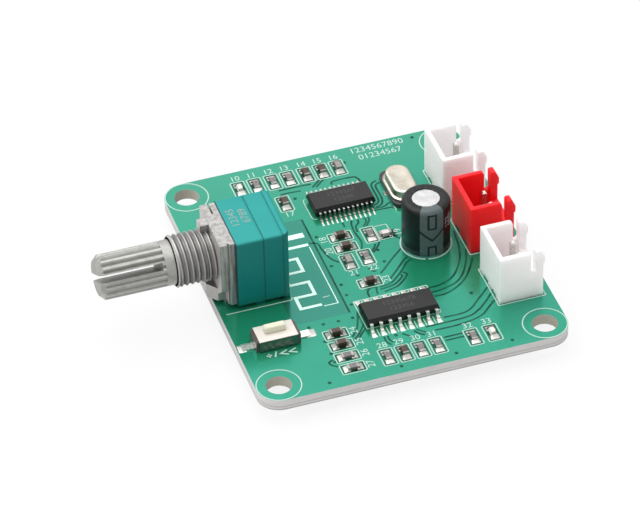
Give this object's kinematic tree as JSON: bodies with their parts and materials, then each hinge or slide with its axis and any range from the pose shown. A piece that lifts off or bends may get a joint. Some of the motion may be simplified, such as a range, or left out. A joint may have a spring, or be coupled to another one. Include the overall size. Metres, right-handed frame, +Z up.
{
  "type": "audio amplifier board",
  "caption": "Small audio amplifier circuit board with a split-shaft volume control, push button, gull-wing chips, a capacitor, a crystal and plug headers for power and speakers.",
  "frame": {"origin": "centre of the four mounting holes, on the board's underside", "axes": "+X towards the plug headers (the volume shaft points along -X), +Y to the rear edge, +Z up through the parts"},
  "size_m": [0.0569, 0.046, 0.0144],
  "materials": {
    "green_laminate": "green solder mask over glass laminate",
    "zinc_casting": "bare die-cast zinc, thread and ribs as cast",
    "teal_moulding": "satin teal moulding",
    "track_wafer": "phenolic wafer",
    "tinned_lead": "bright tin plate",
    "shaft_metal": "turned and knurled, satin",
    "rotor_moulding": "plain moulding",
    "contact_spring": "sprung contact strip",
    "switch_base_moulding": "dark moulding",
    "switch_steel": "folded stainless strip",
    "button_moulding": "cream moulding",
    "white_nylon": "natural white nylon",
    "red_nylon": "red nylon",
    "capacitor_aluminium": "pressed can",
    "capacitor_film": "shrunk film sleeve with a grey stripe",
    "crystal_steel": "drawn and plated can",
    "crystal_base_moulding": "moulded insulator",
    "chip_moulding": "epoxy moulding compound",
    "resistor_ceramic": "glazed black top, tinned ends",
    "capacitor_ceramic": "fired brown ceramic, tinned ends",
    "bead_ceramic": "grey ferrite, tinned ends",
    "lamp_resin": "pale clear resin",
    "solder": "bright solder"
  },
  "bodies": {
    "board": {"amplifier_chip": "chip_moulding", "amplifier_chip_leads": "tinned_lead", "capacitor_can": "capacitor_aluminium", "capacitor_leads": "tinned_lead", "capacitor_sleeve": "capacitor_film", "chip_bead": "bead_ceramic", "chip_capacitor_1": "capacitor_ceramic", "chip_capacitor_10": "capacitor_ceramic", "chip_capacitor_11": "capacitor_ceramic", "chip_capacitor_2": "capacitor_ceramic", "chip_capacitor_3": "capacitor_ceramic", "chip_capacitor_4": "capacitor_ceramic", "chip_capacitor_5": "capacitor_ceramic", "chip_capacitor_6": "capacitor_ceramic", "chip_capacitor_7": "capacitor_ceramic", "chip_capacitor_8": "capacitor_ceramic", "chip_capacitor_9": "capacitor_ceramic", "chip_resistor_1": "resistor_ceramic", "chip_resistor_10": "resistor_ceramic", "chip_resistor_11": "resistor_ceramic", "chip_resistor_2": "resistor_ceramic", "chip_resistor_3": "resistor_ceramic", "chip_resistor_4": "resistor_ceramic", "chip_resistor_5": "resistor_ceramic", "chip_resistor_6": "resistor_ceramic", "chip_resistor_7": "resistor_ceramic", "chip_resistor_8": "resistor_ceramic", "chip_resistor_9": "resistor_ceramic", "circuit_board": "green_laminate", "crystal_can": "crystal_steel", "crystal_insulator": "crystal_base_moulding", "crystal_leads": "tinned_lead", "front_speaker_header": "white_nylon", "front_speaker_pins": "tinned_lead", "power_header": "red_nylon", "power_pins": "tinned_lead", "radio_chip": "chip_moulding", "radio_chip_leads": "tinned_lead", "rear_speaker_header": "white_nylon", "rear_speaker_pins": "tinned_lead", "solder_joints": "solder", "status_lamp_front": "lamp_resin", "status_lamp_rear": "lamp_resin", "switch_base": "switch_base_moulding", "switch_cover": "switch_steel", "switch_dome": "switch_steel", "switch_terminals": "tinned_lead", "volume_bushing_plate": "zinc_casting", "volume_end_cover": "teal_moulding", "volume_front_case": "teal_moulding", "volume_rear_case": "teal_moulding", "volume_terminals": "tinned_lead", "volume_track_front": "track_wafer", "volume_track_rear": "track_wafer"},
    "shaft": {"volume_shaft": "shaft_metal", "volume_rotor_front": "rotor_moulding", "volume_rotor_rear": "rotor_moulding", "volume_wipers": "contact_spring"},
    "button": {"switch_button": "button_moulding"}
  },
  "joints": [
    {"name": "volume_turn", "type": "hinge", "parent": "board", "child": "shaft", "pos_m": [-0.0185, 0.0004, 0.0081], "axis": [1, 0, 0], "range_deg": [-150, 150]},
    {"name": "button_press", "type": "slide", "parent": "board", "child": "button", "axis": [0, 0, -1], "range_m": [0, 0.00025], "stiffness_N_per_m": 5000, "springref_m": -0.00006, "deforming": ["switch_dome"]}
  ]
}
